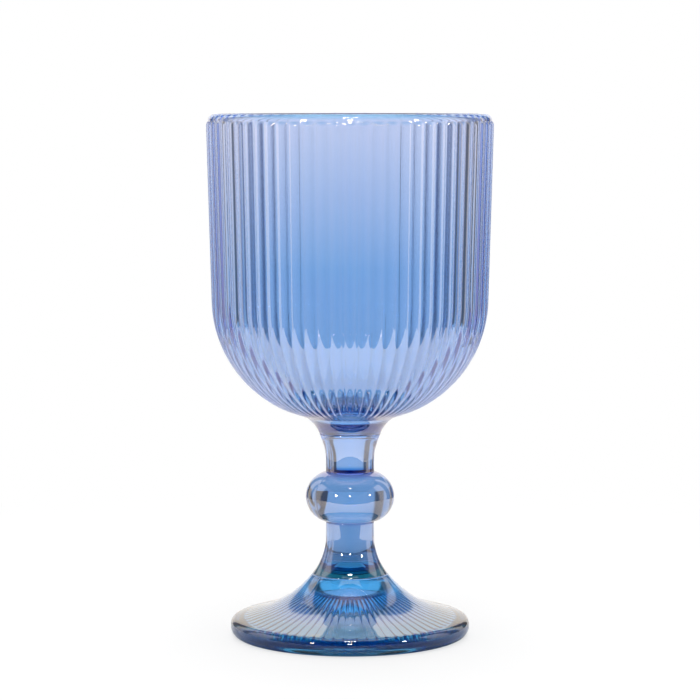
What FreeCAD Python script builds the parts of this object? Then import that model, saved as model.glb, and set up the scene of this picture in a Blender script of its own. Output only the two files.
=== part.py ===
import FreeCAD, Part
import math
import os

# A stemmed drinking glass in five fused pieces: ribbed bowl, upper stem, knop,
# lower stem and foot. Millimetres, +Z up, origin at the centre of the ring that
# the foot stands on. Every piece is turned about Z. The pieces touch on flat
# discs. A rounding is the radius of the arc that softens a corner of an outline.

# ---- Overall -------------------------------------------------------------------
HEIGHT = 160.0             # table to lip
RIB_COUNT = 66             # round the bowl, and as many under the foot

# ---- Bowl ----------------------------------------------------------------------
LIP_RADIUS = 43.2          # plain band under the lip, at the depth of the grooves
LIP_OUTER_ROUNDING = 2.0
LIP_INNER_ROUNDING = 0.8
LIP_BAND = 2.1             # from the lip down to the rib tops
BOWL_WALL = 3.0            # groove to inside
BOWL_FLOOR = 4.6           # collar corner up to the lowest point of the inside
BELLY_RADIUS = 41.0        # where the line of the side meets that of the underside
BELLY_DROP = 81.7          # lip down to that corner
BELLY_ROUNDING = 37.2
UNDERSIDE_RISE = 11.9      # climb of the underside from collar to belly
COLLAR_RADIUS = 10.9       # where the line of the underside meets that of the stem
COLLAR_ROUNDING = 9.2
RIB_HEIGHT = 0.55          # crest above groove at the lip, less where the radius is less
RIB_END = 1.3              # length in which a rib rises to its full height
RIB_TAIL = 9.0             # length in which it fades out above the collar

# ---- Stem and knop -------------------------------------------------------------
STEM_RADIUS = 7.4
SHOULDER_DROP = 9.3        # collar corner down to where the shoulder's line meets the stem
SHOULDER_ROUNDING = 18.0
KNOP_RADIUS = 13.6
KNOP_HEIGHT = 15.2
KNOP_CENTRE = 43.0         # height of the knop's middle
FLARE_HEIGHT = 24.2        # height where the line of the flare meets the stem
FLARE_ROUNDING = 18.8

# ---- Foot ----------------------------------------------------------------------
INSTEP_RADIUS = 18.6       # where the line of the flare meets the foot's top
INSTEP_HEIGHT = 10.5
INSTEP_ROUNDING = 32.0
FOOT_RADIUS = 36.7
EDGE_TOP_ROUNDING = 2.5
EDGE_BOTTOM_ROUNDING = 2.9
STANDING_RING = 1.2        # width of the ring that touches the table, to its inner side
RING_ROUNDING = 0.9        # inner side of that ring
RIM_INSET = 5.0            # foot's edge in to the corner at the outer end of the ribs
RIM_HEIGHT = 1.9
RIM_ROUNDING = 0.8
HOLLOW_RADIUS = 9.5        # where the line of the hollow's side meets its ceiling
HOLLOW_HEIGHT = 11.4
HOLLOW_ROUNDING = 9.0
HOLLOW_CROWN = 0.6         # the ceiling's middle above that corner
FOOT_RIB_HEIGHT = 0.4      # crest below groove at the outer end, less further in
FOOT_RIB_END = 1.4         # length in which a rib rises at its outer end
FOOT_RIB_TAIL = 5.0        # length in which it fades out towards the middle

# ---- Derived -------------------------------------------------------------------
PITCH = 360.0 / RIB_COUNT
COLLAR_HEIGHT = HEIGHT - BELLY_DROP - UNDERSIDE_RISE
FOOT_CENTRE = FreeCAD.Vector(0, 0, 0)
UP = FreeCAD.Vector(0, 0, 1)
STRAIGHT_AT_MOST = 0.98    # share of an outline's line that its arcs may take up
STEPS_IN_END = 5           # spans of a rib's surface in the rising end
STEPS_ALONG = 34           # and from there to the tail


def at(radius, height):
    """Point of a meridian, in the XZ half plane."""
    return FreeCAD.Vector(radius, 0, height)


def line(start, end):
    return Part.LineSegment(start, end).toShape()


def outline(corners):
    """Lines through the corners (radius, height, rounding), with a tangent arc in each.

    The edges are a line and an arc for each corner in turn, and a last line. Where two arcs
    would meet on the line between them, both are made smaller to fit it.
    """
    points = [at(radius, height) for radius, height, rounding in corners]
    ways = [after - before for before, after in zip(points, points[1:])]
    units = [FreeCAD.Vector(way).normalize() for way in ways]
    halves = [(unit * -1).getAngle(next_unit) / 2 for unit, next_unit in zip(units, units[1:])]
    reaches = [corner[2] / math.tan(half) for corner, half in zip(corners[1:-1], halves)]
    shares = []
    for way, arcs in zip(ways, zip([0.0] + reaches, reaches + [0.0])):
        shares.append(min(1.0, STRAIGHT_AT_MOST * way.Length / sum(arcs)))
    edges = []
    last = points[0]
    for k, half in enumerate(halves):
        reach = reaches[k] * min(shares[k], shares[k + 1])
        corner = points[k + 1]
        back = units[k] * -reach
        ahead = units[k + 1] * reach
        depth = reach * (1 / math.cos(half) - math.tan(half))
        middle = corner + (back + ahead).normalize() * depth
        edges.append(line(last, corner + back))
        edges.append(Part.Arc(corner + back, middle, corner + ahead).toShape())
        last = corner + ahead
    edges.append(line(last, points[-1]))
    return edges


def start_of(edge):
    return edge.valueAt(edge.FirstParameter)


def end_of(edge):
    return edge.valueAt(edge.LastParameter)


def turned(edges):
    """Solid turned from an open outline that runs from one point of the axis to another."""
    face = Part.Face(Part.Wire(edges + [line(end_of(edges[-1]), start_of(edges[0]))]))
    return face.revolve(FOOT_CENTRE, UP, 360)


def station(edges, distance):
    """Point at a distance along the edges, and the normal on the right of the way there."""
    for edge in edges:
        if distance <= edge.Length or edge is edges[-1]:
            break
        distance -= edge.Length
    place = edge.getParameterByLength(min(distance, edge.Length))
    way = edge.tangentAt(place)
    return edge.valueAt(place), FreeCAD.Vector(-way.z, 0, way.x)


def rise(distance, length):
    """0 to 1 as a quarter of a sine wave over the length, then 1."""
    return math.sin(math.pi / 2 * min(distance / length, 1.0))


def rib_face(groove, height, end, tail):
    """One rib between two grooves, rising at its end and fading out at its tail.

    The groove's edges run away from the rib's end. The rib stands on their right by the
    height, in proportion to the radius. Across, it is a conic from groove to groove, which
    is an arc about the axis where the rib has no height.
    """
    length = sum(edge.Length for edge in groove)
    near = [end * k / STEPS_IN_END for k in range(STEPS_IN_END)]
    far = [end + (length - end) * k / STEPS_ALONG for k in range(STEPS_ALONG + 1)]
    distances = near + far
    full_radius = start_of(groove[0]).x
    middle_weight = math.cos(math.radians(PITCH / 2))
    to_left = FreeCAD.Rotation(UP, -PITCH / 2)
    to_right = FreeCAD.Rotation(UP, PITCH / 2)
    left, middle, right = [], [], []
    for distance in distances:
        point, normal = station(groove, distance)
        stands = height * point.x / full_radius * rise(distance, end) * rise(length - distance, tail)
        crest = point + normal * stands
        left.append(to_left.multVec(point))
        right.append(to_right.multVec(point))
        ends = left[-1] + right[-1]
        middle.append((crest * (2 + 2 * middle_weight) - ends) / (2 * middle_weight))
    curves = []
    for points in (left, middle, right):
        curve = Part.BSplineCurve()
        curve.interpolate(Points=points, Parameters=distances)
        curves.append(curve)
    poles = [list(row) for row in zip(*(curve.getPoles() for curve in curves))]
    surface = Part.BSplineSurface()
    surface.buildFromPolesMultsKnots(
        poles, curves[0].getMultiplicities(), [3, 3], curves[0].getKnots(), [0.0, 1.0],
        False, False, 3, 2, [[1.0, middle_weight, 1.0] for row in poles])
    return surface.toShape()


def ribbed(before, groove, after, height, end, tail):
    """Closed solid of one sector, with a single rib, repeated round the axis and sewn up.

    The outline runs from one point of the axis to another: before, groove, after. With an
    even number of ribs, one stands at the front, on -Y.
    """
    sector = [rib_face(groove, height, end, tail)]
    for edge in before + after:
        edge = edge.copy()
        edge.rotate(FOOT_CENTRE, UP, -PITCH / 2)
        sector.append(edge.revolve(FOOT_CENTRE, UP, PITCH))
    faces = []
    for k in range(RIB_COUNT):
        for face in sector:
            copy = face.copy()
            copy.rotate(FOOT_CENTRE, UP, (k + 0.5) * PITCH)
            faces.append(copy)
    shell = Part.makeCompound(faces)
    shell.sewShape()
    solid = Part.makeSolid(Part.Shell(shell.Faces))
    return solid


def glass_outline():
    """Outer outline from the lip down to the knop, and the inside from its floor to the lip."""
    floor = COLLAR_HEIGHT + BOWL_FLOOR
    corners = [
        (0, floor, 0),
        (BELLY_RADIUS - BOWL_WALL, floor, BELLY_ROUNDING - BOWL_WALL),
        (LIP_RADIUS - BOWL_WALL, HEIGHT, LIP_INNER_ROUNDING),
        (LIP_RADIUS, HEIGHT, LIP_OUTER_ROUNDING),
        (BELLY_RADIUS, HEIGHT - BELLY_DROP, BELLY_ROUNDING),
        (COLLAR_RADIUS, COLLAR_HEIGHT, COLLAR_ROUNDING),
        (STEM_RADIUS, COLLAR_HEIGHT - SHOULDER_DROP, SHOULDER_ROUNDING),
        (STEM_RADIUS, KNOP_CENTRE + KNOP_HEIGHT / 2, 0),
    ]
    return outline(corners)


def bowl(edges):
    """Inside, lip, plain band, ribbed side and underside, and the collar down to the joint."""
    inside_and_lip = edges[:6]
    side, belly, underside, collar = edges[6:10]
    band, ribbed_side = side.split(LIP_BAND - LIP_OUTER_ROUNDING).Edges
    groove = [ribbed_side, belly, underside]
    joint = end_of(collar)
    disc = line(joint, at(0, joint.z))
    return ribbed(inside_and_lip + [band], groove, [collar, disc], RIB_HEIGHT, RIB_END, RIB_TAIL)


def capped(edges):
    """Solid turned from outline edges, with a flat disc at their top and at their bottom."""
    top = start_of(edges[0])
    bottom = end_of(edges[-1])
    return turned([line(at(0, top.z), top)] + edges + [line(bottom, at(0, bottom.z))])


def knop_side():
    """One arc from the neck above the knop to the neck below."""
    top = at(STEM_RADIUS, KNOP_CENTRE + KNOP_HEIGHT / 2)
    bottom = at(STEM_RADIUS, KNOP_CENTRE - KNOP_HEIGHT / 2)
    return Part.Arc(top, at(KNOP_RADIUS, KNOP_CENTRE), bottom).toShape()


def foot_outline():
    """From the knop down over the foot's top, its edge, the ring and the hollow under it."""
    ring_inside = FOOT_RADIUS - EDGE_BOTTOM_ROUNDING - STANDING_RING
    corners = [
        (STEM_RADIUS, KNOP_CENTRE - KNOP_HEIGHT / 2, 0),
        (STEM_RADIUS, FLARE_HEIGHT, FLARE_ROUNDING),
        (INSTEP_RADIUS, INSTEP_HEIGHT, INSTEP_ROUNDING),
        (FOOT_RADIUS, EDGE_BOTTOM_ROUNDING + EDGE_TOP_ROUNDING, EDGE_TOP_ROUNDING),
        (FOOT_RADIUS, 0, EDGE_BOTTOM_ROUNDING),
        (ring_inside, 0, RING_ROUNDING),
        (FOOT_RADIUS - RIM_INSET, RIM_HEIGHT, RIM_ROUNDING),
        (HOLLOW_RADIUS, HOLLOW_HEIGHT, HOLLOW_ROUNDING),
        (0, HOLLOW_HEIGHT + HOLLOW_CROWN, 0),
    ]
    return outline(corners)


def foot(edges):
    """Flare from the joint down, the rounded edge, the ring, and the ribbed hollow."""
    joint = start_of(edges[2])
    outside = [line(at(0, joint.z), joint)] + edges[2:12]
    return ribbed(outside, edges[12:14], edges[14:], FOOT_RIB_HEIGHT, FOOT_RIB_END, FOOT_RIB_TAIL)


def main():
    upper = glass_outline()
    lower = foot_outline()
    pieces = {
        "bowl": bowl(upper),
        "upper_stem": capped(upper[10:]),
        "knop": capped([knop_side()]),
        "lower_stem": capped(lower[:2]),
        "foot": foot(lower),
    }
    os.makedirs("parts", exist_ok=True)
    for name, solid in pieces.items():
        if not solid.isValid():
            raise RuntimeError(name + " is not a valid solid")
        solid.exportStep("parts/" + name + ".step")


main()
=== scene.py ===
"""A ribbed stemmed glass with a thin blue coat, standing in a pale studio.

The glass is five pieces: bowl, upper stem, knop, lower stem and foot. Each is a closed
surface worked out on a grid: an outline in the half plane (radius, height), carried round
the Z axis, with ribs standing on it where the real ones do.
"""

import math

import bpy
import numpy as np
from mathutils import Euler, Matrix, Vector


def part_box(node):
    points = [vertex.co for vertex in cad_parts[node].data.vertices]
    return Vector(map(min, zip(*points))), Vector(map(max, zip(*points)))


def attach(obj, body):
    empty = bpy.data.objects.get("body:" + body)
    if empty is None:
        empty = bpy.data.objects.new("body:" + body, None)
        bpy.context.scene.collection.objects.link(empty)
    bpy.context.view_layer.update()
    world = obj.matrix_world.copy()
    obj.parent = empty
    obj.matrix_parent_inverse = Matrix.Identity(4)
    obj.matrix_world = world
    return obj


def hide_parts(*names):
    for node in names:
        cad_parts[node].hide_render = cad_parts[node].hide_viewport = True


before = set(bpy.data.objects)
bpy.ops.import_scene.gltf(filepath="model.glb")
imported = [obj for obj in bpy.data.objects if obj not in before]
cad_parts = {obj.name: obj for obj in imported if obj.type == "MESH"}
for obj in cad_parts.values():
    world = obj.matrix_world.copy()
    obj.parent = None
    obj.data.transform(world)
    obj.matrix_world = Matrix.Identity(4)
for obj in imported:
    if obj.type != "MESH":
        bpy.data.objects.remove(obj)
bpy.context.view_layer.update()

bl_info = {
    "name": "Ribbed Stemmed Glass",
    "version": (1, 0, 0),
    "blender": (4, 5, 0),
    "location": "View3D > Sidebar > Glass",
    "description": "Builds a ribbed stemmed glass with a thin coloured coat",
    "category": "Add Mesh",
}

MM = 0.001
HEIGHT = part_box("bowl")[1][2]
FOOT_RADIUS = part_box("foot")[1][0]
KNOP_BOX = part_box("knop")
RIB_COUNT = 66
COLUMNS_PER_RIB = 8
COLUMNS = RIB_COUNT * COLUMNS_PER_RIB
PITCH = 2 * math.pi / RIB_COUNT

# Angle of the front about Z, which is the way of -Y.
FRONT = 1.5 * math.pi

# The most of a line that the arcs at its two ends may take.
ARCS_AT_MOST = 0.98

# Rows of points on each edge of a piece's outline, in turn from its start.
BOWL_ROWS = (6, 40, 24, 6, 1, 9, 1, 6, 20, 36, 5, 18)
UPPER_STEM_ROWS = (6, 16, 8)
KNOP_ROWS = (64,)
LOWER_STEM_ROWS = (10, 26)
FOOT_ROWS = (3, 34, 8, 10, 1, 12, 2, 5, 2, 5, 6, 30, 16, 8)

# Mould seams: degrees from the front, width, and the lengths in which a seam rises at a
# piece's end and ends at the foot's edge.
SEAMS = (-50.0, 70.0, 190.0)
SEAM_WIDTH = 0.28 * MM
SEAM_EASE = 1.5 * MM
EDGE_EASE = 2.0 * MM

# Painted shade in the creases of the knop, as a thicker coat there: how far it reaches up
# and down, and how many more coats thick it is.
UPPER_CREASE_SHADE = (0.7 * MM, 1.6)
LOWER_CREASE_SHADE = (0.4 * MM, 1.0)

# The coat's thickness under the foot, how much its thickness varies, and the share of its
# red, green and blue tint that light meets on the way out.
UNDERSIDE_COAT = 0.15
MOTTLE = 0.25
INNER_SHARE = (0.85, 0.6, 0.6)

# A fade is two heights. Between them the lower colour gives way to the upper one: none where
# both are alike, the bowl's to the lip's, and the painted shade of the foot's lower edge to the
# foot's own colour. The sheen starts at the foot's edge in the same way.
NO_FADE = (0.0, 0.160)
BOWL_FADE = (0.110, 0.160)
EDGE_SHADE_FADE = (0.0042, 0.0062)
LUSTRE_FADE = (0.0036, 0.0052)

# The coat's sheen: between these values of Facing its share of the surface runs from the
# first share to the second.
LUSTRE_FACING = (0.30, 1.0)
LUSTRE_SHARE = (0.18, 0.22)
LUSTRE_ROUGHNESS = 0.02

# Pressed glass, with a cloudy pattern for mottle and roughness, and a finer ripple.
IOR = 1.5
ROUGHEST = 0.012
CLOUD = {"Scale": 55.0, "Detail": 3.0, "Roughness": 0.55}
RIPPLE = {"Scale": 260.0, "Detail": 2.0}
UNEVENNESS = {"Strength": 0.35, "Distance": 0.00002}

# Walls of light round the glass, as strengths of white, from the one straight behind it to
# the one from this many radians round. They are as high as a slope times the way back or
# sideways, end softly, and have a weak light above them.
BACK_WALL, SIDE_WALL = 1.24, 0.95
SIDE_FROM = 0.8
BACK_SLOPE, SIDE_SLOPE = 1.8, 0.9
TOP_SOFTNESS = 0.06
ABOVE_WALLS = 0.08

# Dark front: the degrees round from the back between which the walls give way to it, its
# strength there, which falls to none in the middle, and what it is at least when met through
# the glass, so that the glass has its colour from behind too.
DARK_FRONT = (92.0, 102.0)
DARK = 0.20
FRONT_THROUGH = 0.7

# Dark strips in the walls, in degrees from the back to the right: the middle, how far it is
# full to either side, how far until it is gone, and the share of the light that it leaves.
STRIPS = (
    (-60.0, 3.0, 7.0, 0.28), (60.0, 6.0, 12.0, 0.22),
    (31.0, 6.0, 10.0, 0.15), (-31.0, 5.0, 9.0, 0.22),
)

# A panel of light overhead: half its width and depth for each metre of height, the softness
# of its edge, how far up it starts, and its strength as seen and as light on matt things.
PANEL_HALF = (0.30, 0.45)
PANEL_SOFTNESS = 0.1
PANEL_FADE = (0.3, 0.5)
PANEL_SEEN, PANEL_LIGHT = 0.5, 4.6

# Lamps: name, degrees from the front, degrees up, metres away, size in metres and watts.
LAMP_AIM = 0.08
LAMPS = (
    ("Top lamp", 0, 56, 1.0, (0.16, 0.03), 0.7),
    ("Left lamp", -37, 17, 1.2, (0.08, 0.05), 1.0),
    ("Front lamp", 0, 17, 1.2, (0.08, 0.04), 0.8),
    ("Right lamp", 54, 17, 1.2, (0.08, 0.05), 1.0),
)

# Floor: a round sheet, cut straight in front and lying just under the glass. A glow is the
# share of plain white in it: near the glass for the camera, and for light met through the
# glass by the foot and beyond it, with the distances from the axis between which those two
# give way.
FLOOR_RADIUS = 0.30
FLOOR_FRONT = 0.143
FLOOR_SIDES = 256
FLOOR_DROP = 0.0001
NEAR_GLOW = 0.75
FOOT_FADE = (0.034, 0.050)
FOOT_GLOW, THROUGH_GLOW = 0.7, 0.45

BOUNCES = {
    "max_bounces": 28, "transmission_bounces": 28, "glossy_bounces": 20,
    "transparent_max_bounces": 32,
}


def length(name, about, default):
    """A size in metres that the sidebar shows."""
    return bpy.props.FloatProperty(
        name=name, description=about, default=default, min=0.0, unit="LENGTH", precision=5)


def colour(name, about, default):
    """A colour that the sidebar shows."""
    return bpy.props.FloatVectorProperty(
        name=name, description=about, default=default, subtype="COLOR", size=3, min=0.0, max=1.0)


class BowlSizes(bpy.types.PropertyGroup):
    """Sizes of the bowl, down to the collar under it."""

    lip_radius: length("Lip radius", "Plain band under the lip", 43.2 * MM)
    lip_outer: length("Lip outer rounding", "Arc on the outer side of the lip", 2.0 * MM)
    lip_inner: length("Lip inner rounding", "Arc on the inner side of the lip", 0.8 * MM)
    lip_band: length("Lip band", "From the lip down to the rib tops", 2.1 * MM)
    wall: length("Wall", "From a groove to the inside", 3.0 * MM)
    floor: length("Floor", "From the collar up to the lowest point inside", 4.6 * MM)
    belly_radius: length("Belly radius", "Where side and underside meet", 41.0 * MM)
    belly_drop: length("Belly drop", "From the lip down to the belly", 81.7 * MM)
    belly_rounding: length("Belly rounding", "Arc between side and underside", 37.2 * MM)
    underside_rise: length("Underside rise", "From collar to belly", 11.9 * MM)
    collar_radius: length("Collar radius", "Where underside and stem meet", 10.9 * MM)
    collar_rounding: length("Collar rounding", "Arc between underside and stem", 9.2 * MM)
    rib_height: length("Rib height", "Crest above groove at the lip", 0.55 * MM)
    rib_end: length("Rib end", "Length in which a rib rises", 1.3 * MM)
    rib_tail: length("Rib tail", "Length in which a rib fades out", 9.0 * MM)


class StemSizes(bpy.types.PropertyGroup):
    """Sizes of the stem, the knop on it and the flare below."""

    radius: length("Stem radius", "At its narrowest", 7.4 * MM)
    shoulder_drop: length("Shoulder drop", "From the collar down to the shoulder", 9.3 * MM)
    shoulder_rounding: length("Shoulder rounding", "Arc above the stem", 18.0 * MM)
    flare_height: length("Flare height", "Where the flare leaves the stem", 24.2 * MM)
    flare_rounding: length("Flare rounding", "Arc below the stem", 18.8 * MM)


class FootSizes(bpy.types.PropertyGroup):
    """Sizes of the foot and of the hollow under it."""

    instep_radius: length("Instep radius", "Where the flare meets the top", 18.6 * MM)
    instep_height: length("Instep height", "Height of that place", 10.5 * MM)
    instep_rounding: length("Instep rounding", "Arc between flare and top", 32.0 * MM)
    edge_top: length("Edge top rounding", "Upper arc of the edge", 2.5 * MM)
    edge_bottom: length("Edge bottom rounding", "Lower arc of the edge", 2.9 * MM)
    ring: length("Standing ring", "Width of the ring on the table", 1.2 * MM)
    ring_rounding: length("Ring rounding", "Arc inside the ring", 0.9 * MM)
    rim_inset: length("Rim inset", "From the edge in to the ribs", 5.0 * MM)
    rim_height: length("Rim height", "Height of the outer end of the ribs", 1.9 * MM)
    rim_rounding: length("Rim rounding", "Arc at the outer end of the ribs", 0.8 * MM)
    hollow_radius: length("Hollow radius", "Where side and ceiling meet", 9.5 * MM)
    hollow_height: length("Hollow height", "Height of that place", 11.4 * MM)
    hollow_rounding: length("Hollow rounding", "Arc between side and ceiling", 9.0 * MM)
    hollow_crown: length("Hollow crown", "Ceiling's middle above that place", 0.6 * MM)
    rib_height: length("Rib height", "Crest below groove at the outer end", 0.4 * MM)
    rib_end: length("Rib end", "Length in which a rib rises", 1.4 * MM)
    rib_tail: length("Rib tail", "Length in which a rib fades out", 5.0 * MM)


class GlassLook(bpy.types.PropertyGroup):
    """Colour and finish of the coated glass, with painted shade on the foot's lower edge."""

    bowl: colour("Bowl coat", "Light left after two passes low on the bowl", (0.196, 0.40, 0.81))
    # The lip colour is the tint high on the bowl, lighter than low on it; between the heights of
    # the bowl's fade the bowl's tint gives way to it.
    lip: colour("Lip coat", "Light left after two passes at the lip", (0.58, 0.666, 0.96))
    stem: colour("Stem coat", "Light left after two passes on the stem", (0.244, 0.427, 0.80))
    knop: colour("Knop coat", "Light left after two passes on the knop", (0.155, 0.335, 0.69))
    foot: colour("Foot coat", "Light left after two passes on the foot", (0.09, 0.43, 0.87))
    # The edge colour is painted shade: near black teal low on the foot, where the glass stands in
    # shade next to the floor.
    edge: colour("Edge coat", "Light left after two passes on the foot's edge", (0.004, 0.10, 0.16))
    lustre: colour("Lustre", "Colour of the coat's own sheen", (1.0, 0.75, 0.47))
    seam: length("Seam", "How far a mould seam stands out", 0.05 * MM)


class StageLook(bpy.types.PropertyGroup):
    """Camera and floor."""

    distance: length("Distance", "Camera to the glass's axis", 814.8 * MM)
    camera_height: length("Camera height", "Camera above the floor", 162.6 * MM)
    tilt: bpy.props.FloatProperty(
        name="Tilt", description="Camera downwards", default=math.radians(5.23), subtype="ANGLE")
    lens: bpy.props.FloatProperty(
        name="Lens", description="Focal length in millimetres", default=137.7)
    floor: colour("Floor", "Colour of the floor", (0.95, 0.95, 0.955))


# ---- Outlines -------------------------------------------------------------------


def outline(corners):
    """Edges through the corners (radius, height, rounding), a line and an arc for each in turn.

    At a corner the way turns by an angle. An arc of radius q touches both lines at the
    distance q * tan(angle / 2) from the corner. Where two arcs would meet on the line between
    them, both distances shrink to fit it. An edge is (start, end, angle turned).
    """
    corners = np.asarray(corners, dtype=float)
    points, roundings = corners[:, :2], corners[1:-1, 2]
    ways = np.diff(points, axis=0)
    lengths = np.hypot(*ways.T)
    units = ways / lengths[:, None]
    cross = units[:-1, 0] * units[1:, 1] - units[:-1, 1] * units[1:, 0]
    turns = np.arctan2(cross, np.sum(units[:-1] * units[1:], axis=1))
    reaches = roundings * np.tan(np.abs(turns) / 2)
    used = np.append(reaches, 0.0) + np.append(0.0, reaches)
    shares = np.minimum(1.0, ARCS_AT_MOST * lengths / np.maximum(used, 1e-12))
    reaches = reaches * np.minimum(shares[:-1], shares[1:])
    edges, last = [], points[0]
    for k, reach in enumerate(reaches):
        first, second = points[k + 1] - units[k] * reach, points[k + 1] + units[k + 1] * reach
        edges += [(last, first, 0.0), (first, second, turns[k])]
        last = second
    return edges + [(last, points[-1], 0.0)]


def edge_length(edge):
    """Chord of a line, and chord * (turn / 2) / sin(turn / 2) for an arc."""
    start, end, turn = edge
    chord = math.dist(start, end)
    return chord if abs(turn) < 1e-9 else chord * (turn / 2) / math.sin(turn / 2)


def along(edge, shares):
    """Points and right-hand normals at shares of an edge's length.

    On an arc that turns by t, the chord to share s is turned from the first tangent by
    s * t / 2, and its length is 2 * R * sin(s * t / 2).
    """
    start, end, turn = edge
    shares = np.asarray(shares, dtype=float)
    chord = np.asarray(end) - np.asarray(start)
    if abs(turn) < 1e-9:
        points = start + shares[:, None] * chord
        heading = np.full(len(shares), math.atan2(chord[1], chord[0]))
    else:
        first = math.atan2(chord[1], chord[0]) - turn / 2
        radius = np.hypot(*chord) / (2 * math.sin(turn / 2))
        reach = 2 * radius * np.sin(shares * turn / 2)
        lean = first + shares * turn / 2
        points = start + np.stack([reach * np.cos(lean), reach * np.sin(lean)], axis=1)
        heading = first + shares * turn
    return points, np.stack([-np.sin(heading), np.cos(heading)], axis=1)


def rise(distance, reach):
    """0 to 1 as a quarter of a sine wave over the reach, then 1."""
    return np.sin(math.pi / 2 * np.clip(distance / reach, 0.0, 1.0))


def path(edges, counts):
    """Rows of points along the edges, with their normals and distances from the start.

    Each edge gives its count of rows at even shares of its length, from its start up to, and
    without, its end. The last edge's end closes the path.
    """
    points, normals, distances = [], [], []
    gone = 0.0
    for k, (edge, count) in enumerate(zip(edges, counts)):
        shares = np.arange(count) / count
        if k == len(edges) - 1:
            shares = np.append(shares, 1.0)
        row_points, row_normals = along(edge, shares)
        points.append(row_points)
        normals.append(row_normals)
        distances.append(gone + shares * edge_length(edge))
        gone += edge_length(edge)
    return tuple(np.concatenate(part) for part in (points, normals, distances))


# ---- Surfaces -------------------------------------------------------------------


def rib_columns():
    """Angle of each column, the middle of its rib and how far up the rib it is, 0 to 1.

    Across a rib runs a conic with the weight cos(pitch / 2) in its middle: an arc about the
    axis where the rib has no height, and a low crown where it has.
    """
    share = np.tile(np.arange(COLUMNS_PER_RIB) / COLUMNS_PER_RIB, RIB_COUNT)
    middle = (np.repeat(np.arange(RIB_COUNT), COLUMNS_PER_RIB) + 0.5) * PITCH
    weight = math.cos(PITCH / 2)
    under = (1 - share) ** 2 + 2 * share * (1 - share) * weight + share ** 2
    across = math.sin(PITCH / 2) * (share ** 2 - (1 - share) ** 2) / under
    outward = (weight * ((1 - share) ** 2 + share ** 2) + 2 * share * (1 - share)) / under
    crown = 2 * share * (1 - share) * (1 + weight) / under
    return middle + np.arctan2(across, outward), middle, crown


def surface(points, normals, stands=0.0, seam=0.0):
    """Grid of points: the outline carried round Z, with ribs and mould seams standing on it.

    A point is the outline's, turned to the column's angle, plus the rib's height times the
    crown, along the outline's normal in the rib's middle plane, plus the seam's low bell,
    exp(-(way from the seam / its width)^2), along the column's own normal. stands and seam
    are the heights of rib and seam, one for each row or one for all.
    """
    angle, middle, crown = rib_columns()
    radius, height = points[:, :1], points[:, 1:]
    side, up = normals[:, :1], normals[:, 1:]
    lift = np.reshape(stands, (-1, 1)) * crown
    bell = np.zeros((len(points), COLUMNS))
    for azimuth in SEAMS:
        away = (angle - FRONT - math.radians(azimuth) + math.pi) % (2 * math.pi) - math.pi
        bell += np.exp(-(np.maximum(radius, MM) * away / SEAM_WIDTH) ** 2)
    bell *= np.reshape(seam, (-1, 1))
    x = radius * np.cos(angle) + lift * side * np.cos(middle) + bell * side * np.cos(angle)
    y = radius * np.sin(angle) + lift * side * np.sin(middle) + bell * side * np.sin(angle)
    z = height + (lift + bell) * up
    return np.stack([x, y, z], axis=2)


def closed_mesh(name, grid, first, last, coat, joins):
    """Mesh of a grid that is closed round its columns, and by a fan to the axis at each end.

    coat holds one value per row. joins holds the rows before which the faces are a weld's
    disc. Faces run (row, column), (next row, column), and so on, which points them outwards
    for an outline that runs down the outside.
    """
    rows = len(grid)
    index = np.arange(rows * COLUMNS).reshape(rows, COLUMNS)
    beside = np.roll(index, -1, axis=1)
    quads = np.stack([index[:-1], index[1:], beside[1:], beside[:-1]], axis=2).reshape(-1, 4)
    top = np.stack([np.full(COLUMNS, rows * COLUMNS), index[0], beside[0]], axis=1)
    bottom = np.stack([index[-1], np.full(COLUMNS, rows * COLUMNS + 1), beside[-1]], axis=1)
    vertices = np.concatenate([grid.reshape(-1, 3), [[0, 0, first]], [[0, 0, last]]])
    mesh = bpy.data.meshes.new(name)
    mesh.from_pydata(vertices, [], quads.tolist() + top.tolist() + bottom.tolist())
    quad_rows = np.repeat(np.arange(rows - 1), COLUMNS)
    face_rows = np.concatenate([quad_rows, np.full(COLUMNS, -1), np.full(COLUMNS, rows - 1)])
    welded = np.isin(face_rows, joins)
    mesh.polygons.foreach_set("material_index", welded.astype(np.int32))
    mesh.polygons.foreach_set("use_smooth", ~welded)
    values = np.concatenate([np.repeat(coat, COLUMNS), [coat[0], coat[-1]]])
    layer = mesh.attributes.new("coat", "FLOAT", "POINT")
    layer.data.foreach_set("value", values.astype(np.float32))
    if mesh.validate():
        raise RuntimeError(name + " has faulty faces")
    mesh.update()
    corners = vertices[np.concatenate([quads[:, :3], quads[:, [0, 2, 3]], top, bottom])]
    volume = np.einsum("ij,ij->", corners[:, 0], np.cross(corners[:, 1], corners[:, 2])) / 6
    if volume <= 0:
        raise RuntimeError(name + " is inside out")
    return mesh


def add_piece(name, mesh, solid, glass):
    """Puts a finished mesh in the scene for the solid that it stands for."""
    piece = bpy.data.objects.new(name, mesh)
    bpy.context.scene.collection.objects.link(piece)
    for material in (glass, weld()):
        mesh.materials.append(material)
    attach(piece, "root")
    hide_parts(solid)


def glass_outline(bowl, stem):
    """Inside of the bowl from its lowest point to the lip, and the outside down to the knop."""
    collar = HEIGHT - bowl.belly_drop - bowl.underside_rise
    floor = collar + bowl.floor
    return outline([
        (0, floor, 0),
        (bowl.belly_radius - bowl.wall, floor, bowl.belly_rounding - bowl.wall),
        (bowl.lip_radius - bowl.wall, HEIGHT, bowl.lip_inner),
        (bowl.lip_radius, HEIGHT, bowl.lip_outer),
        (bowl.belly_radius, HEIGHT - bowl.belly_drop, bowl.belly_rounding),
        (bowl.collar_radius, collar, bowl.collar_rounding),
        (stem.radius, collar - stem.shoulder_drop, stem.shoulder_rounding),
        (stem.radius, KNOP_BOX[1][2], 0),
    ])


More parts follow.
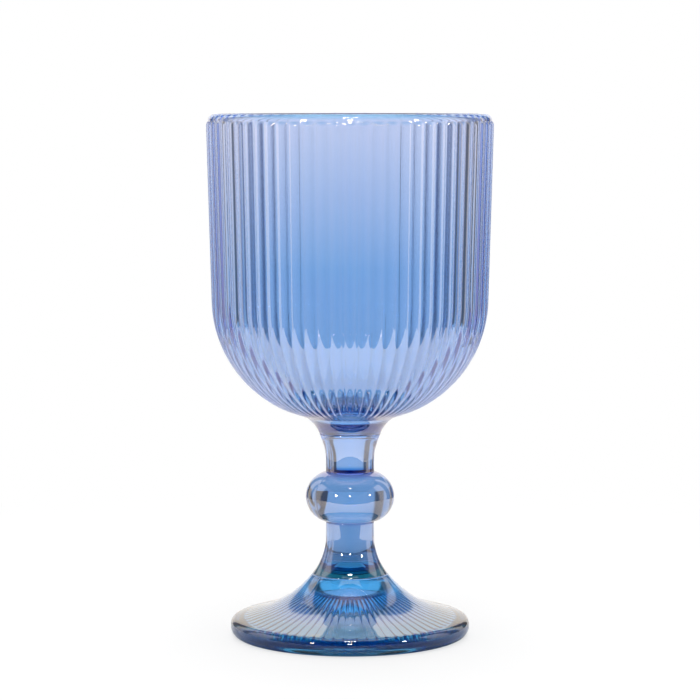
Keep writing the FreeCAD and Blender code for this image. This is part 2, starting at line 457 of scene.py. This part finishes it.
def foot_outline(stem, foot):
    """From the knop down over the foot's top and edge, the ring and the hollow under it."""
    return outline([
        (stem.radius, KNOP_BOX[0][2], 0),
        (stem.radius, stem.flare_height, stem.flare_rounding),
        (foot.instep_radius, foot.instep_height, foot.instep_rounding),
        (FOOT_RADIUS, foot.edge_bottom + foot.edge_top, foot.edge_top),
        (FOOT_RADIUS, 0, foot.edge_bottom),
        (FOOT_RADIUS - foot.edge_bottom - foot.ring, 0, foot.ring_rounding),
        (FOOT_RADIUS - foot.rim_inset, foot.rim_height, foot.rim_rounding),
        (foot.hollow_radius, foot.hollow_height, foot.hollow_rounding),
        (0, foot.hollow_height + foot.hollow_crown, 0),
    ])


def sectioned(edge, where):
    """An edge in two, at a distance from its start."""
    start, end, turn = edge
    share = where / edge_length(edge)
    point = along(edge, [share])[0][0]
    return [(start, point, turn * share), (point, end, turn * (1 - share))]


def rib_stands(sizes, radii, distances, first, last, first_radius):
    """How far the ribs stand out at each row, between the first and the last distance.

    That is the rib height times the radius over the radius at the first distance, so that
    ribs keep their shape as they draw together. It rises over the rib end as a quarter of a
    sine wave, and fades in the same way over the rib tail.
    """
    ribbed = (distances >= first) & (distances <= last)
    full = sizes.rib_height * radii / first_radius
    full = full * rise(distances - first, sizes.rib_end)
    return full * rise(last - distances, sizes.rib_tail) * ribbed


def turned_piece(name, edges, counts, seam):
    """Closed mesh turned from outline edges, with a weld's flat disc at its top and bottom.

    The coat is 1 plus, for each crease of the knop, painted shade of so many more coats times
    exp(-(way from it / reach)^2), which darkens the crease.
    """
    points, normals, distances = path(edges, counts)
    ease = rise(distances, SEAM_EASE) * rise(distances[-1] - distances, SEAM_EASE)
    grid = surface(points, normals, seam=seam * ease)
    coat = np.ones(len(points))
    # Painted shade: a thicker, darker tint at each crease of the knop.
    for (height, reach, crease_shade) in ((KNOP_BOX[1][2], *UPPER_CREASE_SHADE), (KNOP_BOX[0][2], *LOWER_CREASE_SHADE)):
        coat += crease_shade * np.exp(-((points[:, 1] - height) / reach) ** 2)
    joins = [-1, len(points) - 1]
    return closed_mesh(name, grid, points[0, 1], points[-1, 1], coat, joins)


def bowl_mesh(bowl, stem):
    """Inside, lip, plain band, ribs down the side and under the belly, and the collar.

    The first row lies on the axis and gives way to the fan. The coat starts on the lip.
    """
    edges = glass_outline(bowl, stem)
    band, side = sectioned(edges[6], bowl.lip_band - bowl.lip_outer)
    end, side = sectioned(side, bowl.rib_end)
    body = edges[:6] + [band, end, side] + edges[7:10]
    points, normals, distances = path(body, BOWL_ROWS)
    starts = np.cumsum([0.0] + [edge_length(edge) for edge in body])
    lip, plain, ribs, collar = starts[[4, 6, 7, 11]]
    stands = rib_stands(bowl, points[:, 0], distances, ribs, collar, end[0][0])
    coat = np.clip((distances - lip) / (plain - lip), 0.0, 1.0)
    grid = surface(points[1:], normals[1:], stands[1:])
    joins = [len(grid) - 1]
    return closed_mesh("Bowl", grid, points[0, 1], points[-1, 1], coat[1:], joins)


def foot_mesh(stem, foot, seam):
    """Flare, top, rounded edge, standing ring and the ribbed hollow up to its ceiling.

    The last row lies on the axis and gives way to the fan. The coat thins over the ring.
    """
    edges = foot_outline(stem, foot)
    end, side = sectioned(edges[12], foot.rib_end)
    body = edges[2:12] + [end, side] + edges[13:]
    points, normals, distances = path(body, FOOT_ROWS)
    starts = np.cumsum([0.0] + [edge_length(edge) for edge in body])
    side_end, ring, hollow, ribs, ceiling = starts[[5, 6, 8, 10, 13]]
    stands = rib_stands(foot, points[:, 0], distances, ribs, ceiling, end[0][0])
    on_top = rise(distances, SEAM_EASE) * rise(side_end - distances, EDGE_EASE)
    grid = surface(points[:-1], normals[:-1], stands[:-1], (seam * on_top)[:-1])
    under = np.clip((distances - ring) / (hollow - ring), 0.0, 1.0)[:-1]
    coat = 1.0 - (1.0 - UNDERSIDE_COAT) * under
    return closed_mesh("Foot", grid, points[0, 1], points[-1, 1], coat, [-1])


# ---- Materials ------------------------------------------------------------------


def node(tree, kind, **settings):
    """A new node, with properties set by name and inputs by label or number."""
    made = tree.nodes.new(kind)
    inputs = settings.pop("inputs", {})
    for key, value in settings.items():
        setattr(made, key, value)
    for key, value in inputs.items():
        made.inputs[key].default_value = value
    return made


def height_ramp(tree):
    """Map Range of the height on the object, from 0 at From Min to 1 at From Max."""
    place = node(tree, "ShaderNodeTexCoord")
    split = node(tree, "ShaderNodeSeparateXYZ")
    tree.links.new(place.outputs["Object"], split.inputs[0])
    ramp = node(tree, "ShaderNodeMapRange")
    tree.links.new(split.outputs["Z"], ramp.inputs["Value"])
    return ramp


def thickened(tree, ramp, thickness):
    """A Mix node from a low to a high colour by the ramp, and its colour to a power.

    The power is the coat's thickness, as light through a coat twice as thick is tinted twice.
    """
    blend = node(tree, "ShaderNodeMix", data_type="RGBA")
    tree.links.new(ramp.outputs[0], blend.inputs[0])
    tint = node(tree, "ShaderNodeGamma")
    tree.links.new(blend.outputs[2], tint.inputs["Color"])
    tree.links.new(thickness, tint.inputs["Gamma"])
    return blend, tint


def coat_group():
    """Node group: the tint that the coat leaves, and the small unevenness of pressed glass.

    Thickness is the mask times a low mottle. Tint is a colour that runs from Low to High
    between two heights, to the power of the thickness.
    """
    group = bpy.data.node_groups.new("Coat wash", "ShaderNodeTree")
    sockets = (
        ("Coat", "NodeSocketFloat", 1.0), ("Mottle", "NodeSocketFloat", 0.1),
        ("Low", "NodeSocketColor", (0.5, 0.7, 0.9, 1.0)),
        ("High", "NodeSocketColor", (0.5, 0.7, 0.9, 1.0)),
        ("Low Height", "NodeSocketFloat", 0.0), ("High Height", "NodeSocketFloat", 0.16),
    )
    for name, kind, default in sockets:
        group.interface.new_socket(name, in_out="INPUT", socket_type=kind).default_value = default
    for name, kind in (("Tint", "NodeSocketColor"), ("Roughness", "NodeSocketFloat"),
                       ("Height", "NodeSocketFloat")):
        group.interface.new_socket(name, in_out="OUTPUT", socket_type=kind)
    link = group.links.new
    given = node(group, "NodeGroupInput")
    out = node(group, "NodeGroupOutput")
    place = node(group, "ShaderNodeTexCoord")
    cloud = node(group, "ShaderNodeTexNoise", inputs=CLOUD)
    link(place.outputs["Object"], cloud.inputs["Vector"])
    centred = node(group, "ShaderNodeMath", operation="SUBTRACT", inputs={1: 0.5})
    link(cloud.outputs["Fac"], centred.inputs[0])
    swing = node(group, "ShaderNodeMath", operation="MULTIPLY_ADD", inputs={2: 1.0})
    link(centred.outputs[0], swing.inputs[0])
    link(given.outputs["Mottle"], swing.inputs[1])
    masked = node(group, "ShaderNodeMath", operation="MULTIPLY")
    link(swing.outputs[0], masked.inputs[0])
    link(given.outputs["Coat"], masked.inputs[1])
    ramp = height_ramp(group)
    link(given.outputs["Low Height"], ramp.inputs["From Min"])
    link(given.outputs["High Height"], ramp.inputs["From Max"])
    blend, tint = thickened(group, ramp, masked.outputs[0])
    link(given.outputs["Low"], blend.inputs[6])
    link(given.outputs["High"], blend.inputs[7])
    link(tint.outputs[0], out.inputs["Tint"])
    wear = node(group, "ShaderNodeMapRange", inputs={3: 0.0, 4: ROUGHEST})
    link(cloud.outputs["Fac"], wear.inputs["Value"])
    link(wear.outputs[0], out.inputs["Roughness"])
    ripple = node(group, "ShaderNodeTexNoise", inputs=RIPPLE)
    link(place.outputs["Object"], ripple.inputs["Vector"])
    link(ripple.outputs["Fac"], out.inputs["Height"])
    return group


def inner_tint(pair):
    """Colour of light met from within: the pair to a power for each of red, green and blue."""
    return (*(part ** share for part, share in zip(pair, INNER_SHARE)), 1.0)


def outer_tint(pair):
    """Colour that tints light going in so that, with the inner tint going out, it leaves pair.

    The shader takes the square root of its colour at a face, hence the square.
    """
    return (*((both / within) ** 2 for both, within in zip(pair, inner_tint(pair))), 1.0)


def coated_glass(name, look, low, high, fade=NO_FADE):
    """Clear glass with a coat on the faces that its mesh marks.

    From outside, light is tinted on its way in, and the sheen keeps its own colour. From
    inside, light is tinted on its way out, and so is the light that the face throws back.
    """
    material = bpy.data.materials.new(name)
    material.use_nodes = True
    tree = material.node_tree
    tree.nodes.clear()
    link = tree.links.new
    mask = node(tree, "ShaderNodeAttribute", attribute_name="coat")
    wash = node(tree, "ShaderNodeGroup", node_tree=coat_wash(), inputs={
        "Low": outer_tint(low), "High": outer_tint(high), "Low Height": fade[0],
        "High Height": fade[1], "Mottle": MOTTLE})
    link(mask.outputs["Fac"], wash.inputs["Coat"])
    bump = node(tree, "ShaderNodeBump", inputs=UNEVENNESS)
    link(wash.outputs["Height"], bump.inputs["Height"])
    outside = node(tree, "ShaderNodeBsdfPrincipled", inputs={
        "IOR": IOR, "Transmission Weight": 1.0, "Metallic": 0.0})
    link(wash.outputs["Tint"], outside.inputs["Base Color"])
    link(wash.outputs["Roughness"], outside.inputs["Roughness"])
    link(bump.outputs[0], outside.inputs["Normal"])
    inside = node(tree, "ShaderNodeBsdfGlass", inputs={"IOR": IOR, "Roughness": 0.0})
    ramp = height_ramp(tree)
    ramp.inputs["From Min"].default_value, ramp.inputs["From Max"].default_value = fade
    blend, within = thickened(tree, ramp, mask.outputs["Fac"])
    blend.inputs[6].default_value = inner_tint(low)
    blend.inputs[7].default_value = inner_tint(high)
    link(within.outputs[0], inside.inputs["Color"])
    link(bump.outputs[0], inside.inputs["Normal"])
    sheen = node(tree, "ShaderNodeBsdfAnisotropic", inputs={
        "Color": (*look.lustre, 1.0), "Roughness": LUSTRE_ROUGHNESS})
    link(bump.outputs[0], sheen.inputs["Normal"])
    grazing = node(tree, "ShaderNodeLayerWeight")
    link(bump.outputs[0], grazing.inputs["Normal"])
    lustre = node(tree, "ShaderNodeMapRange", inputs={
        1: LUSTRE_FACING[0], 2: LUSTRE_FACING[1], 3: LUSTRE_SHARE[0], 4: LUSTRE_SHARE[1]})
    link(grazing.outputs["Facing"], lustre.inputs["Value"])
    edge = height_ramp(tree)
    edge.inputs["From Min"].default_value, edge.inputs["From Max"].default_value = LUSTRE_FADE
    shown = node(tree, "ShaderNodeMath", operation="MULTIPLY", use_clamp=True)
    link(mask.outputs["Fac"], shown.inputs[0])
    link(edge.outputs[0], shown.inputs[1])
    masked = node(tree, "ShaderNodeMath", operation="MULTIPLY")
    link(lustre.outputs[0], masked.inputs[0])
    link(shown.outputs[0], masked.inputs[1])
    coated = node(tree, "ShaderNodeMixShader")
    link(masked.outputs[0], coated.inputs[0])
    link(outside.outputs[0], coated.inputs[1])
    link(sheen.outputs[0], coated.inputs[2])
    side = node(tree, "ShaderNodeNewGeometry")
    both = node(tree, "ShaderNodeMixShader")
    link(side.outputs["Backfacing"], both.inputs[0])
    link(coated.outputs[0], both.inputs[1])
    link(inside.outputs[0], both.inputs[2])
    out = node(tree, "ShaderNodeOutputMaterial")
    link(both.outputs[0], out.inputs["Surface"])
    return material


def weld_glass():
    """Glass within glass where two pieces were pressed together hot: it bends no light."""
    material = bpy.data.materials.new("Weld")
    material.use_nodes = True
    shader = material.node_tree.nodes["Principled BSDF"]
    shader.inputs["Alpha"].default_value = 0.0
    return material


def found_or_made(kind, name, make):
    """The material or node group of that name, made the first time that it is asked for."""
    return kind.get(name) or make()


def weld():
    """The material of all the discs where two pieces meet."""
    return found_or_made(bpy.data.materials, "Weld", weld_glass)


def coat_wash():
    """The node group that all the coated materials share."""
    return found_or_made(bpy.data.node_groups, "Coat wash", coat_group)


# ---- Operators ------------------------------------------------------------------


class GLASS_OT_bowl(bpy.types.Operator):
    """Makes the ribbed bowl."""

    bl_idname = "glass.bowl"
    bl_label = "Bowl"

    def execute(self, context):
        scene = context.scene
        look = scene.glass_look
        mesh = bowl_mesh(scene.glass_bowl, scene.glass_stem)
        glass = coated_glass("Bowl glass", look, look.bowl, look.lip, BOWL_FADE)
        add_piece("Bowl", mesh, "bowl", glass)
        return {"FINISHED"}


class GLASS_OT_stem(bpy.types.Operator):
    """Makes the stem above the knop and the stem below it."""

    bl_idname = "glass.stem"
    bl_label = "Stem"

    def execute(self, context):
        scene = context.scene
        look, stem = scene.glass_look, scene.glass_stem
        above, below = glass_outline(scene.glass_bowl, stem), foot_outline(stem, scene.glass_foot)
        glass = coated_glass("Stem glass", look, look.stem, look.stem)
        upper = turned_piece("Upper stem", above[10:], UPPER_STEM_ROWS, look.seam)
        add_piece("Upper_stem", upper, "upper_stem", glass)
        lower = turned_piece("Lower stem", below[:2], LOWER_STEM_ROWS, look.seam)
        low_glass = coated_glass("Lower stem glass", look, look.knop, look.knop)
        add_piece("Lower_stem", lower, "lower_stem", low_glass)
        return {"FINISHED"}


class GLASS_OT_knop(bpy.types.Operator):
    """Makes the knop, one arc from the stem above to the stem below.

    An arc that bulges by b over a chord of 2 * h turns by 4 * atan(b / h).
    """

    bl_idname = "glass.knop"
    bl_label = "Knop"

    def execute(self, context):
        scene = context.scene
        look = scene.glass_look
        low, high = KNOP_BOX
        neck, most = scene.glass_stem.radius, high[0]
        half, bulge = (high[2] - low[2]) / 2, most - neck
        turn = -4 * math.atan2(bulge, half)
        edge = (np.array([neck, high[2]]), np.array([neck, low[2]]), turn)
        mesh = turned_piece("Knop", [edge], KNOP_ROWS, look.seam)
        glass = coated_glass("Knop glass", look, look.knop, look.knop)
        add_piece("Knop", mesh, "knop", glass)
        return {"FINISHED"}


class GLASS_OT_foot(bpy.types.Operator):
    """Makes the foot, smooth above and ribbed below."""

    bl_idname = "glass.foot"
    bl_label = "Foot"

    def execute(self, context):
        scene = context.scene
        look = scene.glass_look
        mesh = foot_mesh(scene.glass_stem, scene.glass_foot, look.seam)
        # Low on the foot the edge colour paints shade onto the foot's lower edge.
        glass = coated_glass("Foot glass", look, look.edge, look.foot, EDGE_SHADE_FADE)
        add_piece("Foot", mesh, "foot", glass)
        return {"FINISHED"}


def lamp(name, azimuth, elevation, distance, size, power):
    """A soft rectangular lamp that the camera doesn't see directly.

    It stands at an azimuth from the front, an elevation and a distance from the middle of the
    glass, and is turned to that middle.
    """
    light = bpy.data.lights.new(name, "AREA")
    light.shape = "RECTANGLE"
    light.size, light.size_y = size
    light.energy = power
    obj = bpy.data.objects.new(name, light)
    angle, up = FRONT + math.radians(azimuth), math.radians(elevation)
    level = distance * math.cos(up)
    aim = Vector((0, 0, LAMP_AIM))
    away = Vector((level * math.cos(angle), level * math.sin(angle), distance * math.sin(up)))
    obj.location = aim + away
    obj.rotation_euler = (-away).to_track_quat("-Z", "Y").to_euler()
    obj.visible_camera = False
    bpy.context.scene.collection.objects.link(obj)


def pale_floor(colour_of_floor):
    """A matt floor with a plain white glow in it, so that it ends without a line.

    For the camera the glow's share grows to all of it at the rim, and less near the glass
    keeps the shadow. Seen through the glass the share is smaller, and smallest beyond the
    foot. Everything else finds the matt floor alone.
    """
    material = bpy.data.materials.new("Pale floor")
    material.use_nodes = True
    tree = material.node_tree
    tree.nodes.clear()
    link = tree.links.new
    paint = node(tree, "ShaderNodeBsdfDiffuse", inputs={"Color": (*colour_of_floor, 1.0)})
    glow = node(tree, "ShaderNodeEmission", inputs={"Color": (1, 1, 1, 1), "Strength": 1.0})
    ray = node(tree, "ShaderNodeLightPath")
    place = node(tree, "ShaderNodeTexCoord")
    away = node(tree, "ShaderNodeVectorMath", operation="LENGTH")
    link(place.outputs["Object"], away.inputs[0])
    fade = node(tree, "ShaderNodeMapRange", interpolation_type="SMOOTHSTEP",
                inputs={1: FLOOR_RADIUS / 2, 2: FLOOR_RADIUS, 3: NEAR_GLOW, 4: 1.0})
    link(away.outputs["Value"], fade.inputs["Value"])
    beyond = node(tree, "ShaderNodeMapRange", interpolation_type="SMOOTHSTEP",
                  inputs={1: FOOT_FADE[0], 2: FOOT_FADE[1], 3: FOOT_GLOW, 4: THROUGH_GLOW})
    link(away.outputs["Value"], beyond.inputs["Value"])
    seen = node(tree, "ShaderNodeMath", operation="MULTIPLY_ADD")
    link(ray.outputs["Is Transmission Ray"], seen.inputs[0])
    link(beyond.outputs[0], seen.inputs[1])
    link(ray.outputs["Is Camera Ray"], seen.inputs[2])
    share = node(tree, "ShaderNodeMath", operation="MULTIPLY")
    link(seen.outputs[0], share.inputs[0])
    link(fade.outputs[0], share.inputs[1])
    mix = node(tree, "ShaderNodeMixShader")
    link(share.outputs[0], mix.inputs[0])
    link(paint.outputs[0], mix.inputs[1])
    link(glow.outputs[0], mix.inputs[2])
    out = node(tree, "ShaderNodeOutputMaterial")
    link(mix.outputs[0], out.inputs["Surface"])
    return material


def studio_world():
    """White walls behind and beside the glass, with dark strips, and a panel of light overhead.

    The front is dark, which gives the glass its edges. Seen through the glass it is nearly as
    bright as the walls. The camera sees plain white all round.
    """
    world = bpy.data.worlds.new("Studio")
    world.use_nodes = True
    tree = world.node_tree
    tree.nodes.clear()
    link = tree.links.new

    def maths(operation, first, second=None, value=None):
        made = node(tree, "ShaderNodeMath", operation=operation)
        link(first, made.inputs[0])
        if second is not None:
            link(second, made.inputs[1])
        elif value is not None:
            made.inputs[1].default_value = value
        return made.outputs[0]

    def step(value, low, high, before, after):
        made = node(tree, "ShaderNodeMapRange", interpolation_type="SMOOTHSTEP",
                    inputs={1: low, 2: high, 3: before, 4: after})
        link(value, made.inputs["Value"])
        return made.outputs[0]

    ray = node(tree, "ShaderNodeLightPath")
    place = node(tree, "ShaderNodeTexCoord")
    split = node(tree, "ShaderNodeSeparateXYZ")
    link(place.outputs["Generated"], split.inputs[0])
    across = maths("ABSOLUTE", split.outputs["X"])
    turn = maths("ARCTAN2", across, split.outputs["Y"])
    back_top = maths("MULTIPLY", split.outputs["Y"], value=BACK_SLOPE)
    side_top = maths("MULTIPLY", across, value=SIDE_SLOPE)
    over = maths("SUBTRACT", split.outputs["Z"], maths("MAXIMUM", back_top, side_top))
    wall = step(turn, 0.0, SIDE_FROM, BACK_WALL, SIDE_WALL)
    dusk = step(over, -TOP_SOFTNESS, TOP_SOFTNESS, 1.0, ABOVE_WALLS)
    first, last = math.radians(DARK_FRONT[0]), math.radians(DARK_FRONT[1])
    room = node(tree, "ShaderNodeMapRange", inputs={1: first, 2: math.pi, 3: DARK, 4: 0.0})
    link(turn, room.inputs["Value"])
    front = maths("ADD", step(turn, first, last, 1.0 - DARK, 0.0), room.outputs[0])
    through = maths("MULTIPLY", ray.outputs["Is Transmission Ray"], value=FRONT_THROUGH)
    front = maths("MAXIMUM", front, through)
    walls = maths("MULTIPLY", maths("MULTIPLY", dusk, front), wall)
    bearing = maths("ARCTAN2", split.outputs["X"], split.outputs["Y"])
    for middle, full, gone, left in STRIPS:
        aside = maths("ABSOLUTE", maths("SUBTRACT", bearing, value=math.radians(middle)))
        strip = step(aside, math.radians(full), math.radians(gone), left, 1.0)
        walls = maths("MULTIPLY", walls, strip)
    power = node(tree, "ShaderNodeMix", data_type="FLOAT", inputs={2: PANEL_SEEN, 3: PANEL_LIGHT})
    link(ray.outputs["Is Diffuse Ray"], power.inputs[0])
    panel = maths("MULTIPLY", step(split.outputs["Z"], *PANEL_FADE, 0.0, 1.0), power.outputs[0])
    height = maths("MAXIMUM", split.outputs["Z"], value=0.01)
    for way, half in zip((across, maths("ABSOLUTE", split.outputs["Y"])), PANEL_HALF):
        within = step(maths("DIVIDE", way, height), half, half + PANEL_SOFTNESS, 1.0, 0.0)
        panel = maths("MULTIPLY", panel, within)
    final = maths("ADD", walls, panel)
    level = node(tree, "ShaderNodeMix", data_type="FLOAT", inputs={3: 1.0})
    link(ray.outputs["Is Camera Ray"], level.inputs[0])
    link(final, level.inputs[2])
    back = node(tree, "ShaderNodeBackground", inputs={"Color": (1, 1, 1, 1)})
    link(level.outputs[0], back.inputs["Strength"])
    out = node(tree, "ShaderNodeOutputWorld")
    link(back.outputs[0], out.inputs["Surface"])
    return world


class GLASS_OT_stage(bpy.types.Operator):
    """Makes the floor, the lamps, the surroundings and the camera."""

    bl_idname = "glass.stage"
    bl_label = "Stage"

    def execute(self, context):
        scene = context.scene
        stage = scene.glass_stage
        scene.world = studio_world()
        mesh = bpy.data.meshes.new("Floor")
        turn = np.arange(FLOOR_SIDES) * (2 * math.pi / FLOOR_SIDES)
        ahead = np.maximum(FLOOR_RADIUS * np.sin(turn), -FLOOR_FRONT)
        edge = np.stack([FLOOR_RADIUS * np.cos(turn), ahead, 0 * turn], axis=1)
        mesh.from_pydata(edge, [], [list(range(FLOOR_SIDES))])
        floor = bpy.data.objects.new("Floor", mesh)
        floor.location.z = -FLOOR_DROP
        scene.collection.objects.link(floor)
        mesh.materials.append(pale_floor(stage.floor))
        for settings in LAMPS:
            lamp(*settings)
        camera = bpy.data.objects.new("Camera", bpy.data.cameras.new("Camera"))
        camera.data.lens = stage.lens
        camera.data.sensor_width = 36.0
        camera.data.clip_start = 0.01
        camera.location = (0.0, -stage.distance, stage.camera_height)
        camera.rotation_euler = Euler((math.pi / 2 - stage.tilt, 0, 0))
        scene.collection.objects.link(camera)
        scene.camera = camera
        scene.view_settings.view_transform = "Standard"
        for setting, count in BOUNCES.items():
            setattr(scene.cycles, setting, count)
        return {"FINISHED"}


class GLASS_PT_panel(bpy.types.Panel):
    """Lists the steps that build the glass, and the sizes and colours behind them."""

    bl_idname = "GLASS_PT_panel"
    bl_label = "Ribbed Stemmed Glass"
    bl_space_type = "VIEW_3D"
    bl_region_type = "UI"
    bl_category = "Glass"

    def draw(self, context):
        for operator in OPERATORS:
            self.layout.operator(operator.bl_idname)
        for name in GROUPS:
            group = getattr(context.scene, name)
            for key in group.__annotations__:
                self.layout.prop(group, key)


OPERATORS = (GLASS_OT_bowl, GLASS_OT_stem, GLASS_OT_knop, GLASS_OT_foot, GLASS_OT_stage)
GROUPS = {
    "glass_bowl": BowlSizes,
    "glass_stem": StemSizes,
    "glass_foot": FootSizes,
    "glass_look": GlassLook,
    "glass_stage": StageLook,
}


def register():
    for kind in (*GROUPS.values(), *OPERATORS, GLASS_PT_panel):
        bpy.utils.register_class(kind)
    for name, kind in GROUPS.items():
        setattr(bpy.types.Scene, name, bpy.props.PointerProperty(type=kind))


def unregister():
    for name in GROUPS:
        delattr(bpy.types.Scene, name)
    for kind in (GLASS_PT_panel, *reversed(OPERATORS), *reversed(list(GROUPS.values()))):
        bpy.utils.unregister_class(kind)


def main():
    register()
    for operator in OPERATORS:
        group, name = operator.bl_idname.split(".")
        if getattr(getattr(bpy.ops, group), name)() != {"FINISHED"}:
            raise RuntimeError(operator.bl_label + " was not built")


if __name__ == "__main__":
    main()
